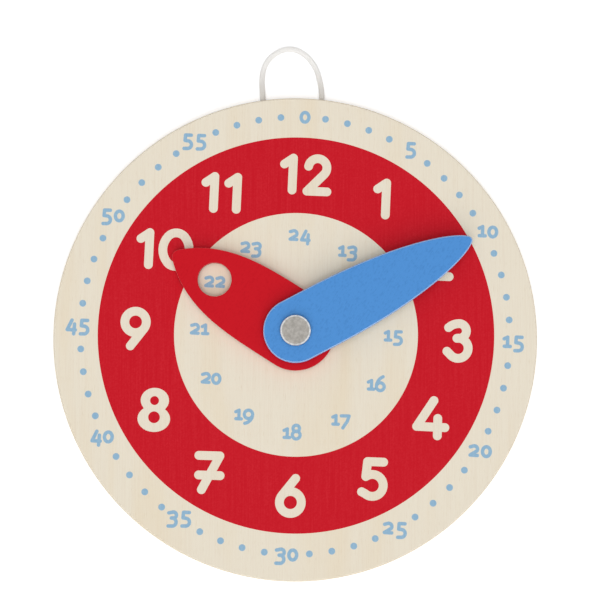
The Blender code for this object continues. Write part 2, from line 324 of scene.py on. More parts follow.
@dataclass(frozen=True)
class PaintedPly(Finish):
    """Satin paint sprayed on sanded ply: fine mottle, thinner and paler on the eased top edges, partly
    wear and partly a painted highlight.
    """

    paint: str = "#C51421"
    shade: str = "#BF101E"
    # Paler colour of the eased edges: partly wear, partly a painted highlight
    edge_wear_and_highlight: str = "#EBA09C"
    wear_and_highlight_share: float = 0.6
    mottle_mm: float = 1.1
    fibre_mm: tuple[float, float, float] = (0.35, 3.0, 0.35)

    def material(self) -> bpy.types.Material:
        """Build the paint with its mottle, raised fibres and paler top edges, partly wear and partly
        painted highlight.
        """
        material, tree, shader = self.start()
        mottle = self.noise(tree, (self.mottle_mm,) * 3, detail=4.0)
        fibres = self.noise(tree, self.fibre_mm, detail=2.0, turn=0.6)
        both = add_node(tree, "ShaderNodeMath", {0: mottle, 1: fibres}, operation="ADD")
        tone = add_node(
            tree,
            "ShaderNodeValToRGB",
            {"Fac": both.outputs[0]},
            stops=((0.75, self.shade), (1.00, self.paint)),
        )
        # Faces that lean up on the eased top edges turn paler: partly wear, partly a painted highlight
        # where the rounding faces the light
        facing = add_node(tree, "ShaderNodeTexCoord").outputs["Normal"]
        rise = add_node(tree, "ShaderNodeSeparateXYZ", {"Vector": facing}).outputs["Z"]
        edge = add_node(
            tree,
            "ShaderNodeValToRGB",
            {"Fac": rise},
            stops=((0.10, "#000000"), (0.45, "#FFFFFF"), (0.90, "#FFFFFF"), (0.99, "#000000")),
        )
        wear_and_highlight_share = add_node(tree, "ShaderNodeMath", {0: edge.outputs[0], 1: self.wear_and_highlight_share}, operation="MULTIPLY")
        coloured = add_node(
            tree,
            "ShaderNodeMix",
            {0: wear_and_highlight_share.outputs[0], 6: tone.outputs[0], 7: linear(self.edge_wear_and_highlight)},
            data_type="RGBA",
        )
        tree.links.new(coloured.outputs[2], shader.inputs["Base Color"])
        self.emboss(tree, shader, both.outputs[0])
        return material


@dataclass(frozen=True)
class PlatedMetal(Finish):
    """Plated or bare steel, drawn over by handling: cloudy, with hair scratches."""

    bright: str = "#B7B3AD"
    dull: str = "#A19D97"
    cloud_mm: float = 1.4
    # Real scratches are a few hundredths wide; drawn coarser so that they show
    scratch_mm: tuple[float, float, float] = (0.09, 4.0, 0.5)
    scratch_turns: tuple[float, float] = (0.5, -1.1)

    def material(self) -> bpy.types.Material:
        """Build the metal with clouds of wear and two sets of crossing scratches."""
        material, tree, shader = self.start()
        shader.inputs["Metallic"].default_value = 1.0
        clouds = self.noise(tree, (self.cloud_mm,) * 3, detail=3.0)
        tone = add_node(
            tree, "ShaderNodeValToRGB", {"Fac": clouds}, stops=((0.35, self.dull), (0.65, self.bright))
        )
        tree.links.new(tone.outputs[0], shader.inputs["Base Color"])
        first, second = (
            self.noise(tree, self.scratch_mm, detail=1.0, turn=turn) for turn in self.scratch_turns
        )
        scratches = add_node(tree, "ShaderNodeMath", {0: first, 1: second}, operation="MAXIMUM")
        gloss = add_node(
            tree,
            "ShaderNodeMapRange",
            {
                "Value": scratches.outputs[0],
                "From Min": 0.5,
                "From Max": 0.8,
                "To Min": self.roughness,
                "To Max": self.roughness + 0.25,
            },
        )
        tree.links.new(gloss.outputs[0], shader.inputs["Roughness"])
        self.emboss(tree, shader, scratches.outputs[0])
        return material


@dataclass(frozen=True)
class NaturalNylon(Finish):
    """Stamped nylon sheet: milky and waxy, with light passing a little way in."""

    milk: str = "#DAD7CD"
    wax: str = "#CFCBBE"
    cloud_mm: float = 1.5
    scatter: float = 0.25
    scatter_mm: float = 0.8
    ior: float = 1.53

    def material(self) -> bpy.types.Material:
        """Build the nylon with a faint cloud and some depth."""
        material, tree, shader = self.start()
        clouds = self.noise(tree, (self.cloud_mm,) * 3, detail=2.0)
        tone = add_node(
            tree, "ShaderNodeValToRGB", {"Fac": clouds}, stops=((0.35, self.wax), (0.65, self.milk))
        )
        tree.links.new(tone.outputs[0], shader.inputs["Base Color"])
        shader.inputs["IOR"].default_value = self.ior
        shader.inputs["Subsurface Weight"].default_value = self.scatter
        shader.inputs["Subsurface Scale"].default_value = self.scatter_mm * MM
        self.emboss(tree, shader, clouds)
        return material


@dataclass(frozen=True)
class BraidedCotton(Finish):
    """Bleached cotton yarn: off-white with a soft nap, and a painted shade where it leaves the rim."""

    light: str = "#FCFBF9"
    dim: str = "#EAE7E3"
    # Grey painted on near the rim, standing in for the board's shade on the cord
    rim_shade: str = "#C9C2B9"
    # Where along +Y the painted shade starts to fade, and where it ends
    rim_shade_mm: tuple[float, float] = (106.0, 122.0)
    rim_shade_strength: float = 0.75
    fibre_mm: float = 0.12
    sheen: float = 0.25

    def material(self) -> bpy.types.Material:
        """Build the yarn with its fibres and the painted shade that fades away from the rim."""
        material, tree, shader = self.start()
        fibres = self.noise(tree, (self.fibre_mm,) * 3, detail=2.0)
        tone = add_node(
            tree, "ShaderNodeValToRGB", {"Fac": fibres}, stops=((0.30, self.dim), (0.70, self.light))
        )
        where = add_node(tree, "ShaderNodeTexCoord").outputs["Object"]
        along = add_node(tree, "ShaderNodeSeparateXYZ", {"Vector": where}).outputs["Y"]
        near, far = self.rim_shade_mm
        # Painted shade: strongest by the rim, gone further out
        rim_shade_share = add_node(
            tree,
            "ShaderNodeMapRange",
            {
                "Value": along,
                "From Min": near * MM,
                "From Max": far * MM,
                "To Min": self.rim_shade_strength,
                "To Max": 0.0,
            },
        )
        rim_shade = add_node(
            tree,
            "ShaderNodeMix",
            {0: rim_shade_share.outputs[0], 6: tone.outputs[0], 7: linear(self.rim_shade)},
            data_type="RGBA",
        )
        tree.links.new(rim_shade.outputs[2], shader.inputs["Base Color"])
        shader.inputs["Sheen Weight"].default_value = self.sheen
        self.emboss(tree, shader, fibres)
        return material


VENEER = BirchVeneer("birch veneer", 0.55, relief_mm=0.006, gloss=0.2)
PLY_EDGE = BirchPlyEdge("birch plywood edge", 0.70, relief_mm=0.03, gloss=0.2)
RED_INK = ScreenInk("red screen ink", 0.50, relief_mm=0.008, gloss=0.12)
BLUE_INK = ScreenInk(
    "light blue screen ink", 0.50, relief_mm=0.008, gloss=0.12, ink="#8BB0CB", thin="#99B9CF"
)
RED_PAINT = PaintedPly("red painted plywood", 0.45, relief_mm=0.012, gloss=0.12, wear_and_highlight_share=0.35)
BLUE_PAINT = PaintedPly(
    "blue painted plywood",
    0.45,
    relief_mm=0.012,
    gloss=0.12,
    paint="#508FD2",
    shade="#4A87C8",
    edge_wear_and_highlight="#B9CDEB",
)
NICKEL = PlatedMetal("satin nickel plate", 0.30, relief_mm=0.004)
# Lighter copy of the nickel for the chamfer: a painted highlight where the chamfer catches light
NICKEL_PAINTED_HIGHLIGHT = PlatedMetal(
    "nickel chamfer painted highlight", 0.24, relief_mm=0.004, bright="#E6E7E7", dull="#BDBFC0"
)
ZINC = PlatedMetal("zinc plate", 0.38, relief_mm=0.004, bright="#B5B7BA", dull="#9FA1A5")
SPRING_STEEL = PlatedMetal("bare spring steel", 0.34, relief_mm=0.004, bright="#8E8E90", dull="#77777A")
NYLON = NaturalNylon("natural nylon", 0.45, relief_mm=0.01)
COTTON = BraidedCotton("braided cotton", 0.92, relief_mm=0.02)


# Helpers for modelling


def deselect() -> None:
    """Leave nothing selected, so that an operator acts on new pieces alone."""
    bpy.ops.object.select_all(action="DESELECT")


def choose(*pieces: bpy.types.Object) -> None:
    """Select only these pieces and make the first one active."""
    deselect()
    for piece in pieces:
        piece.select_set(True)
    bpy.context.view_layer.objects.active = pieces[0]


@contextmanager
def editing(piece: bpy.types.Object) -> Iterator[None]:
    """Hold a piece in edit mode with all of it selected.

    Args:
        piece: Mesh to edit.
    """
    choose(piece)
    bpy.ops.object.mode_set(mode="EDIT")
    bpy.ops.mesh.select_all(action="SELECT")
    yield
    bpy.ops.object.mode_set(mode="OBJECT")


class Part(Enum):
    """Which parts of a mesh are picked in edit mode."""

    FACES = "FACE"
    EDGES = "EDGE"


def pick(part: Part, test: Callable[[object], bool]) -> None:
    """Select only the faces or edges of the edited mesh that pass a test.

    Args:
        part: Faces or edges.
        test: Says of one face or edge whether it is wanted.
    """
    mesh = bpy.context.edit_object.data
    shape = bmesh.from_edit_mesh(mesh)
    items = shape.faces if part is Part.FACES else shape.edges
    wanted = [item for item in items if test(item)]
    bpy.ops.mesh.select_mode(type=part.value)
    bpy.ops.mesh.select_all(action="DESELECT")
    shape = bmesh.from_edit_mesh(mesh)
    for item in wanted:
        item.select_set(True)
    shape.select_flush_mode()
    bmesh.update_edit_mesh(mesh)


def push(x: float = 0.0, y: float = 0.0, z: float = 0.0) -> None:
    """Extrude what is selected along one vector."""
    bpy.ops.mesh.extrude_region_move(TRANSFORM_OT_translate={"value": (x, y, z)})


def rod(
    name: str, radius: float, low: float, high: float, steps: int, at: Point = (0.0, 0.0)
) -> bpy.types.Object:
    """Add an upright round rod at its size and place.

    Args:
        name: Name of the piece.
        radius: Radius in metres.
        low: Height of its bottom.
        high: Height of its top.
        steps: Sides round it.
        at: Place of its axis.

    Returns:
        The rod.
    """
    deselect()
    bpy.ops.mesh.primitive_cylinder_add(
        vertices=steps, radius=radius, depth=high - low, location=(*at, (low + high) / 2)
    )
    piece = bpy.context.object
    piece.name = name
    return piece


def apply_all(piece: bpy.types.Object) -> None:
    """Apply every modifier on a piece, in order."""
    choose(piece)
    for modifier in list(piece.modifiers):
        bpy.ops.object.modifier_apply(modifier=modifier.name)


class Carve(Enum):
    """What a cutter does to a piece."""

    AWAY = "DIFFERENCE"
    KEEP = "INTERSECT"


def carve(
    piece: bpy.types.Object, cutter: bpy.types.Object, how: Carve = Carve.AWAY, overlaps: bool = False
) -> None:
    """Cut a piece with another and remove the cutter.

    Args:
        piece: What is cut.
        cutter: Closed shape that cuts.
        how: Whether the shape is taken away or is all that is kept.
        overlaps: Whether the cutter's own parts run through each other.
    """
    boolean = piece.modifiers.new("carve", "BOOLEAN")
    # Hidden until it is applied, so that the cut isn't worked out twice
    boolean.show_viewport = False
    boolean.object = cutter
    boolean.operation = how.value
    boolean.solver = "EXACT"
    boolean.use_self = overlaps
    apply_all(piece)
    bpy.data.objects.remove(cutter, do_unlink=True)


def ease(piece: bpy.types.Object, width: float, segments: int, corner: float = 60.0) -> None:
    """Round the sharp edges of a piece with a bevel modifier.

    Args:
        piece: Mesh to round.
        width: Width of the rounding.
        segments: Steps across it.
        corner: Least angle in degrees that counts as sharp.
    """
    bevel = piece.modifiers.new("eased edges", "BEVEL")
    bevel.width = width
    bevel.segments = segments
    bevel.limit_method = "ANGLE"
    bevel.angle_limit = math.radians(corner)
    apply_all(piece)


def settle(piece: bpy.types.Object) -> None:
    """Bring a piece's place into its mesh and shade it smooth over soft edges."""
    choose(piece)
    bpy.ops.object.transform_apply(location=True, rotation=True, scale=True)
    bpy.ops.object.shade_smooth_by_angle(angle=math.radians(SMOOTH_DEGREES))
    weighted = piece.modifiers.new("flat faces stay flat", "WEIGHTED_NORMAL")
    weighted.keep_sharp = True
    apply_all(piece)


def hand_over(
    piece: bpy.types.Object,
    body: str,
    finishes: Sequence[Finish],
    stands_for: Sequence[str] = (),
) -> None:
    """Give a finished piece its finish and its place in the frame.

    Args:
        piece: The finished piece.
        body: CAD body that it rides on.
        finishes: Its finishes, in the order of its material slots.
        stands_for: CAD nodes that it replaces.
    """
    piece.data.materials.clear()
    for finish in finishes:
        piece.data.materials.append(finish.material())
    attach(piece, body)
    if stands_for:
        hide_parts(*stands_for)
    log.info("%s: %d faces on %s", piece.name, len(piece.data.polygons), body)


# Figures, drawn by strokes of a pen


@dataclass(frozen=True)
class Line:
    """A straight run of the pen to a point, in millimetres from the figure's middle."""

    x: float
    y: float


@dataclass(frozen=True)
class Arc:
    """A turn of the pen about a centre, anticlockwise where degrees are above zero."""

    x: float
    y: float
    degrees: float


@dataclass(frozen=True)
class Stroke:
    """One stroke: where the pen goes down and the runs that it makes."""

    x: float
    y: float
    runs: tuple[Line | Arc, ...]


@dataclass(frozen=True)
class Oval:
    """A full oval, in millimetres from the figure's middle."""

    x: float
    y: float
    half_width: float
    half_height: float


@dataclass(frozen=True)
class Figure:
    """A numeral: strokes and full ovals, less the round eyes that are cut out of them."""

    strokes: tuple[Stroke, ...] = ()
    lobes: tuple[Oval, ...] = ()
    eyes: tuple[Oval, ...] = ()


# Round-ended numerals of the hours, in millimetres
HOUR_FIGURES = {
    "0": Figure((
        Stroke(3.69, -5.83, (
            Arc(-3.03, 0.0, 81.9), Arc(0.0, 2.63, 98.1), Arc(3.03, 0.0, 81.9), Arc(0.0, -2.63, 98.1),
        )),
    )),
    "1": Figure((Stroke(-2.2, 4.4, (Line(1.7, 7.2), Line(1.6, -7.15))),)),
    "2": Figure((Stroke(-3.76, 3.79, (Arc(0.32, 3.22, -215.5), Line(-4.1, -7.4), Line(4.8, -7.4))),)),
    "3": Figure((
        Stroke(-4.26, 5.75, (Arc(0.57, 0.74, -41.6), Arc(0.42, 4.43, -180.0), Line(-0.4, 1.1))),
        Stroke(0.24, 1.2, (Arc(0.24, -3.29, -230.0), Line(-4.66, -4.82))),
    )),
    "4": Figure((
        Stroke(1.18, 7.84, (Line(-6.08, -3.85), Line(6.42, -3.95))),
        Stroke(3.14, 0.0, (Line(3.2, -7.7),)),
    )),
    "5": Figure((
        Stroke(4.6, 7.5, (
            Line(-2.49, 7.5), Line(-3.05, 0.88), Arc(-0.06, -2.94, -258.0), Line(-4.7, -5.93),
        )),
    )),
    "6": Figure((
        Stroke(1.95, 7.94, (Line(-3.87, 0.16), Arc(0.02, -2.74, 180.0), Arc(0.02, -2.74, 180.0))),
    )),
    "7": Figure((
        Stroke(-4.97, 7.4, (Line(4.33, 7.5), Line(-3.25, -7.68))),
        Stroke(-4.76, -1.24, (Line(4.77, -1.21),)),
    )),
    "8": Figure(
        lobes=(Oval(0.24, 4.25, 6.31, 5.56), Oval(0.1, -3.94, 7.27, 5.85)),
        eyes=(Oval(0.1, 4.14, 1.96, 1.96), Oval(0.17, -3.24, 2.58, 2.58)),
    ),
    "9": Figure((
        Stroke(-2.09, -7.81, (Line(3.66, 0.10), Arc(-0.21, 2.91, 180.0), Arc(-0.21, 2.91, 180.0))),
    )),
}

# Old-style numerals of the minutes and the 24 hours: 3, 4, 5, 7 and 9 hang below the line
SMALL_FIGURES = {
    "0": Figure((
        Stroke(1.12, -1.62, (
            Arc(-0.76, 0.0, 81.6), Arc(0.0, 0.65, 98.4), Arc(0.76, 0.0, 81.6), Arc(0.0, -0.65, 98.4),
        )),
    )),
    "1": Figure((
        Stroke(-1.45, 1.45, (Line(0.1, 2.25), Line(0.1, -1.85))),
        Stroke(-1.3, -1.85, (Line(1.3, -1.85),)),
    )),
    "2": Figure((
        Stroke(-1.8, 1.85, (
            Line(-0.35, 2.31), Arc(0.0, 0.95, -139.4), Line(-1.8, -1.75), Line(1.4, -1.83),
        )),
    )),
    "3": Figure((
        Stroke(-2.35, 2.3, (Line(-0.6, 2.72), Arc(-0.3, 1.4, -163.0), Line(-1.15, 0.08))),
        Stroke(0.0, -0.1, (Arc(-0.75, -1.7, -160.0), Line(-2.4, -3.48))),
    )),
    "4": Figure((
        Stroke(-0.15, 3.3, (Line(-2.1, -0.95), Line(1.5, -1.0))),
        Stroke(1.05, 1.6, (Line(0.85, -2.75),)),
    )),
    "5": Figure((
        Stroke(1.35, 2.6, (
            Line(-1.2, 2.6), Line(-1.35, 0.15), Line(-0.15, 0.02), Arc(-0.15, -1.7, -178.0),
            Line(-1.65, -3.45),
        )),
    )),
    "6": Figure((
        Stroke(1.61, 3.82, (Arc(3.84, -0.97, 65.1), Arc(0.41, -0.97, 180.0), Arc(0.41, -0.97, 180.0))),
    )),
    "7": Figure((Stroke(-2.0, 2.2, (Line(1.75, 2.25), Line(0.95, -0.3), Line(-1.05, -3.5))),)),
    "8": Figure((
        Stroke(1.65, 1.75, (Arc(0.11, 1.75, 180.0), Arc(0.11, 1.75, 180.0))),
        Stroke(2.05, -1.37, (Arc(0.2, -1.37, 180.0), Arc(0.2, -1.37, 180.0))),
    )),
    "9": Figure((
        Stroke(-1.61, -3.55, (Arc(-2.41, 0.75, 79.6), Arc(-0.02, 0.75, 180.0), Arc(-0.02, 0.75, 180.0))),
    )),
}


@dataclass
class Pen:
    """Draws figures in strokes of one width, as plates between two heights."""

    width: float
    low: float
    high: float
    turn_degrees: float
    size_share: float = 1.0
    arc_step_degrees: float = 10.0
    end_steps: int = 28
    nib: float = 0.02 * MM
    overrun: float = 1.0 * MM
    # A stroke's round ends stand this much proud, so that no side lies in another
    end_share: float = 1.006
    plate_radius: float = 14.0 * MM
    plate_steps: int = 8

    def _dot(self, at: Point, half_width: float, half_height: float) -> None:
        """Add an upright round or oval post to the edited mesh, left selected."""
        middle = (self.low + self.high) / 2
        bpy.ops.mesh.primitive_cylinder_add(
            vertices=self.end_steps,
            radius=half_width,
            depth=self.high - self.low + 2 * self.overrun,
            location=(*at, middle),
        )
        bpy.ops.transform.resize(
            value=(1.0, half_height / half_width, 1.0), center_override=(*at, middle)
        )

    def _set_nib(self, at: Point, heading: float) -> None:
        """Add a thin block across the stroke and pick the face that leads it."""
        way = Vector((math.cos(heading), math.sin(heading), 0.0))
        bpy.ops.mesh.primitive_cube_add(
            size=1.0,
            location=(*at, (self.low + self.high) / 2),
            rotation=(0.0, 0.0, heading),
            scale=(self.nib, self.width, self.high - self.low + 2 * self.overrun),
        )
        pick(Part.FACES, lambda face: face.select and face.normal.dot(way) > FLAT)

    def _run(self, at: Point, run: Line | Arc) -> Point:
        """Draw one run of a stroke.

        Args:
            at: Where the pen is, in metres.
            run: The run, in millimetres.

        Returns:
            Where the pen is after it.
        """
        x, y = run.x * self.size_share * MM, run.y * self.size_share * MM
        if isinstance(run, Line):
            self._set_nib(at, math.atan2(y - at[1], x - at[0]))
            push(x - at[0], y - at[1])
            return x, y
        side = math.copysign(1.0, run.degrees)
        out = Vector((at[0] - x, at[1] - y))
        self._set_nib(at, math.atan2(out.y, out.x) + side * math.pi / 2)
        # With no window, spin turns clockwise about an axis that points up
        bpy.ops.mesh.spin(
            steps=max(3, round(abs(run.degrees) / self.arc_step_degrees)),
            angle=math.radians(abs(run.degrees)),
            center=(x, y, 0.0),
            axis=(0.0, 0.0, -side),
        )
        out.rotate(Matrix.Rotation(math.radians(run.degrees), 2))
        return x + out.x, y + out.y

    def draw(self, name: str, figure: Figure) -> bpy.types.Object:
        """Draw a figure about the frame's origin.

        Args:
            name: Name of the piece.
            figure: The figure.

        Returns:
            The figure as one closed plate.
        """
        end = self.width / 2 * self.end_share
        unit = self.size_share * MM
        spots = [
            ((oval.x * unit, oval.y * unit), oval.half_width * unit, oval.half_height * unit)
            for oval in figure.lobes
        ]
        spots += [((stroke.x * unit, stroke.y * unit), end, end) for stroke in figure.strokes]
        strokes = rod("strokes", self.nib, self.low, self.high, 3)
        with editing(strokes):
            bpy.ops.mesh.delete(type="VERT")
            for spot in spots:
                self._dot(*spot)
            for stroke in figure.strokes:
                at = (stroke.x * unit, stroke.y * unit)
                for run in stroke.runs:
                    at = self._run(at, run)
                    self._dot(at, end, end)
            bpy.ops.mesh.select_all(action="SELECT")
            bpy.ops.mesh.normals_make_consistent(inside=False)
        plate = rod(name, self.plate_radius, self.low, self.high, self.plate_steps)
        carve(plate, strokes, Carve.KEEP, overlaps=True)
        low, high = self.low - self.overrun, self.high + self.overrun
        for oval in figure.eyes:
            at = (oval.x * unit, oval.y * unit)
            carve(plate, rod("eye", oval.half_width * unit, low, high, self.end_steps, at))
        return plate

    def write(
        self, name: str, figures: dict[str, Figure], places: Sequence[tuple[str, float, float]]
    ) -> bpy.types.Object:
        """Draw each figure once and copy it to its places.

        Args:
            name: Name of the piece.
            figures: The figures of one lettering style.
            places: Figure and place in millimetres, for each copy.

        Returns:
            All the copies as one piece.
        """
        needed = sorted({key for key, _, _ in places})
        drawn = {key: self.draw(f"{name}_{key}", figures[key]) for key in needed}
        copies = []
        for key, x, y in places:
            choose(drawn[key])
            bpy.ops.object.duplicate(linked=False)
            copy = bpy.context.object
            copy.location.xy = (x * MM, y * MM)
            copy.rotation_euler.z = -math.radians(self.turn_degrees)
            copies.append(copy)
        choose(*copies)
        bpy.ops.object.join()
        sheet = bpy.context.object
        sheet.name = name
        for piece in drawn.values():
            bpy.data.objects.remove(piece, do_unlink=True)
        return sheet


# Sub-assemblies


@dataclass
class DialBoard:
    """Round birch plywood board, drilled for the pivot and for the cord's two ends."""

    diameter: float = 215.0 * MM
    thickness: float = 6.0 * MM
    rounding: float = 0.8 * MM
    rounding_steps: int = 5
    pivot: Point = (0.15 * MM, 3.0 * MM)
    bore_diameter: float = 6.1 * MM
    recess_diameter: float = 16.0 * MM
    recess_depth: float = 3.7 * MM
    cord_hole_diameter: float = 3.2 * MM
    cord_hole_floor: float = 94.5 * MM
    cord_hole_height: float = 3.0 * MM
    cord_hole_sides: tuple[float, float] = (-14.4 * MM, 12.0 * MM)
    steps: int = 288
    overrun: float = 1.0 * MM

    def model(self) -> bpy.types.Object:
        """Model the board with its eased rim, pivot bore, back recess and cord holes."""
        board = rod("board_birch_ply", self.diameter / 2, 0.0, self.thickness, self.steps)
        with editing(board):
            pick(Part.EDGES, lambda edge: edge.verts[0].co.z == edge.verts[1].co.z)
            bpy.ops.mesh.bevel(offset=self.rounding, segments=self.rounding_steps, affect="EDGES")
        top = self.thickness + self.overrun
        carve(board, rod("bore", self.bore_diameter / 2, -self.overrun, top, BORE_STEPS, self.pivot))
        carve(
            board,
            rod(
                "recess", self.recess_diameter / 2, -self.overrun, self.recess_depth,
                WIDE_HOLE_STEPS, self.pivot,
            ),
        )
        for side in self.cord_hole_sides:
            reach = self.diameter / 2 + self.overrun
            radius, floor = self.cord_hole_diameter / 2, self.cord_hole_floor
            hole = rod("cord_hole", radius, floor, reach, SMALL_ROUND_STEPS)
            hole.rotation_euler.x = -math.pi / 2
            hole.location = (side, (self.cord_hole_floor + reach) / 2, self.cord_hole_height)
            carve(board, hole)
        settle(board)
        return board

    def build(self) -> None:
        """Model the board and dress its faces with veneer and its rim with plies."""
        board = self.model()
        hand_over(board, "clock_board", (VENEER, PLY_EDGE), ("dial_board",))
        for face in board.data.polygons:
            face.material_index = int(abs(face.normal.z) < RIM_SLOPE)


@dataclass(frozen=True)
class NumberRing:
    """Upright numbers spaced evenly round the dial, in millimetres.

    The widths are each figure's share of the line, the rises are how far its middle stands
    off the line, and the nudges are the few numbers that are printed off their even place.
    """

    labels: tuple[str, ...]
    centre: Point
    half_sides: Point
    widths: dict[str, float]
    rises: dict[str, float] = field(default_factory=dict)
    nudges: dict[str, Point] = field(default_factory=dict)

    def places(self, turn_degrees: float) -> list[tuple[str, float, float]]:
        """Work out where each figure is printed.

        Args:
            turn_degrees: How far the whole print is turned clockwise on the board.

        Returns:
            Figure and place, for each figure of each number.
        """
        turn = math.radians(turn_degrees)
        spots = []
        for index, label in enumerate(self.labels):
            angle = turn + math.tau * index / len(self.labels)
            aside, up = self.nudges.get(label, (0.0, 0.0))
            x = self.centre[0] + self.half_sides[0] * math.sin(angle) + aside
            y = self.centre[1] + self.half_sides[1] * math.cos(angle) + up
            gap = sum(self.widths[figure] for figure in label) / 2
            for place, figure in enumerate(label):
                along = gap * (place - (len(label) - 1) / 2)
                rise = self.rises.get(figure, 0.0) - along * math.sin(turn)
                spots.append((figure, x + along * math.cos(turn), y + rise))
        return spots


HOUR_NUMBERS = NumberRing(
    labels=("12", *map(str, range(1, 12))),
    centre=(0.7, 1.6),
    half_sides=(71.6, 71.6),
    widths=dict.fromkeys("3456789", 14.0) | {"0": 17.0, "1": 10.2, "2": 14.5},
    nudges={"4": (-1.2, 1.1), "5": (0.2, -0.5), "7": (-0.5, -0.5)},
)
MINUTE_NUMBERS = NumberRing(
    labels=tuple(map(str, range(0, 60, 5))),
    centre=(0.2, 1.9),
    half_sides=(96.7, 97.7),
    widths={"0": 5.0, "1": 4.3, "2": 5.7, "3": 4.8, "4": 5.1, "5": 5.9},
    rises={"3": -0.4, "4": -1.0, "5": -0.2},
    nudges={"0": (0.5, -0.7), "25": (-1.1, 0.2), "35": (0.4, 1.4), "50": (0.5, 0.7)},
)
DAY_NUMBERS = NumberRing(
    labels=("24", *map(str, range(13, 24))),
    centre=(0.7, 1.7),
    half_sides=(42.9, 43.6),
    widths={
        "0": 4.0, "1": 3.9, "2": 4.9, "3": 5.9, "4": 5.8, "5": 5.0, "6": 3.4, "7": 4.6,
        "8": 4.0, "9": 4.7,
    },
    rises={"3": -0.4, "4": -0.9, "5": -0.3, "6": 0.4, "8": 0.8, "9": -0.3},
    nudges={
        "15": (0.0, 0.8), "16": (-1.4, 0.6), "17": (-0.6, 0.4), "18": (-0.7, -0.5),
        "19": (-0.7, 1.1), "20": (0.0, 0.7), "21": (0.0, 0.5), "24": (-0.2, 0.4),
    },
)


@dataclass
class PrintedDial:
    """Screen print on the board's face: red ring, bare hours, blue minutes and 24 hours."""

    centre: Point = (0.36 * MM, 1.67 * MM)
    ring_outer_diameter: float = 176.2 * MM
    ring_inner_diameter: float = 108.4 * MM
    board_top: float = 6.0 * MM
    ink_thickness: float = 0.05 * MM
    ink_sunk: float = 0.02 * MM
    hour_stroke: float = 3.92 * MM
    minute_stroke: float = 1.56 * MM
    day_stroke: float = 1.46 * MM
    day_size_share: float = 0.93
    stencil_reach: float = 1.0 * MM
    dot_diameter: float = 3.0 * MM
    dots_centre: Point = (-0.05 * MM, 1.70 * MM)
    dots_half_sides: Point = (95.4 * MM, 97.25 * MM)
    minutes: int = 60
    figure_every: int = 5
    turn_degrees: float = 2.2
    steps: int = 256

    def disc(self, name: str, diameter: float, reach: float = 0.0) -> bpy.types.Object:
        """Lay a round film of ink on the board, or one that reaches past it both ways."""
        low = self.board_top - self.ink_sunk - reach
        high = self.board_top + self.ink_thickness + reach
        return rod(name, diameter / 2, low, high, self.steps, self.centre)

    def pen(self, stroke: float, reach: float = 0.0, size_share: float = 1.0) -> Pen:
        """Return a pen that draws as thick as the ink, or past it both ways."""
        low = self.board_top - self.ink_sunk - reach
        high = self.board_top + self.ink_thickness + reach
        return Pen(stroke, low, high, self.turn_degrees, size_share)

    def dots(self) -> list[bpy.types.Object]:
        """Model one minute dot and copy it to each minute that has no figure."""
        low, high = self.board_top - self.ink_sunk, self.board_top + self.ink_thickness
        first = rod("dot", self.dot_diameter / 2, low, high, SMALL_ROUND_STEPS)
        copies = []
        for minute in range(self.minutes):
            if minute % self.figure_every == 0:
                continue
            angle = math.radians(360.0 / self.minutes * minute + self.turn_degrees)
            choose(first)
            bpy.ops.object.duplicate(linked=False)
            copy = bpy.context.object
            copy.location.x = self.dots_centre[0] + self.dots_half_sides[0] * math.sin(angle)
            copy.location.y = self.dots_centre[1] + self.dots_half_sides[1] * math.cos(angle)
            copies.append(copy)
        bpy.data.objects.remove(first, do_unlink=True)
        return copies

    def build(self) -> None:
        """Print the red ring round its bare hours, then the two blue scales."""
        ring = self.disc("print_red_ring", self.ring_outer_diameter)
        carve(ring, self.disc("middle", self.ring_inner_diameter, self.stencil_reach))
        hours = self.pen(self.hour_stroke, self.stencil_reach)
        carve(ring, hours.write("hours", HOUR_FIGURES, HOUR_NUMBERS.places(self.turn_degrees)))
        settle(ring)
        hand_over(ring, "clock_board", (RED_INK,))

        bold = self.pen(self.minute_stroke)
        marks = MINUTE_NUMBERS.places(self.turn_degrees)
        minutes = bold.write("print_minute_scale", SMALL_FIGURES, marks)
        choose(minutes, *self.dots())
        bpy.ops.object.join()
        settle(minutes)
        hand_over(minutes, "clock_board", (BLUE_INK,))

        fine = self.pen(self.day_stroke, size_share=self.day_size_share)
        marks = DAY_NUMBERS.places(self.turn_degrees)
        day = fine.write("print_day_numbers", SMALL_FIGURES, marks)
        settle(day)
        hand_over(day, "clock_board", (BLUE_INK,))


@dataclass(frozen=True)
class Leaf:
    """Outline of a hand: a round end about the bore, closing flanks and a rounded tip."""

    length: float
    half_width: float
    flank_start: float
    fall: float
    close: float
    tip_share: float
    end_steps: int = 40
    flank_steps: int = 64
    tip_steps: int = 12

    def flank(self, share: float) -> tuple[float, float, float]:
        """Return half width, height and slope of the flank, share 0 to 1 along it."""
        run = self.length - self.flank_start
        left = 1.0 - share ** self.fall
        slope = (
            -self.half_width * self.close * self.fall
            * share ** (self.fall - 1.0) * left ** (self.close - 1.0) / run
        )
        return self.half_width * left ** self.close, self.flank_start + run * share, slope

    def rows(self) -> list[Point]:
        """Return half width and height of rows across the hand, from end to tip."""
        rows = []
        for step in range(self.end_steps):
            angle = math.pi / 2 * (step / self.end_steps - 1.0)
            rows.append((self.half_width * math.cos(angle), self.half_width * math.sin(angle)))
        for step in range(self.flank_steps + 1):
            share = self.tip_share * math.sin(math.pi / 2 * step / self.flank_steps)
            across, along, slope = self.flank(share)
            rows.append((across, along))
        middle, radius = along + across * slope, across * math.hypot(1.0, slope)
        start = math.atan(-slope)
        for step in range(1, self.tip_steps + 1):
            angle = start + (math.pi / 2 - start) * step / self.tip_steps
            rows.append((radius * math.cos(angle), middle + radius * math.sin(angle)))
        return rows


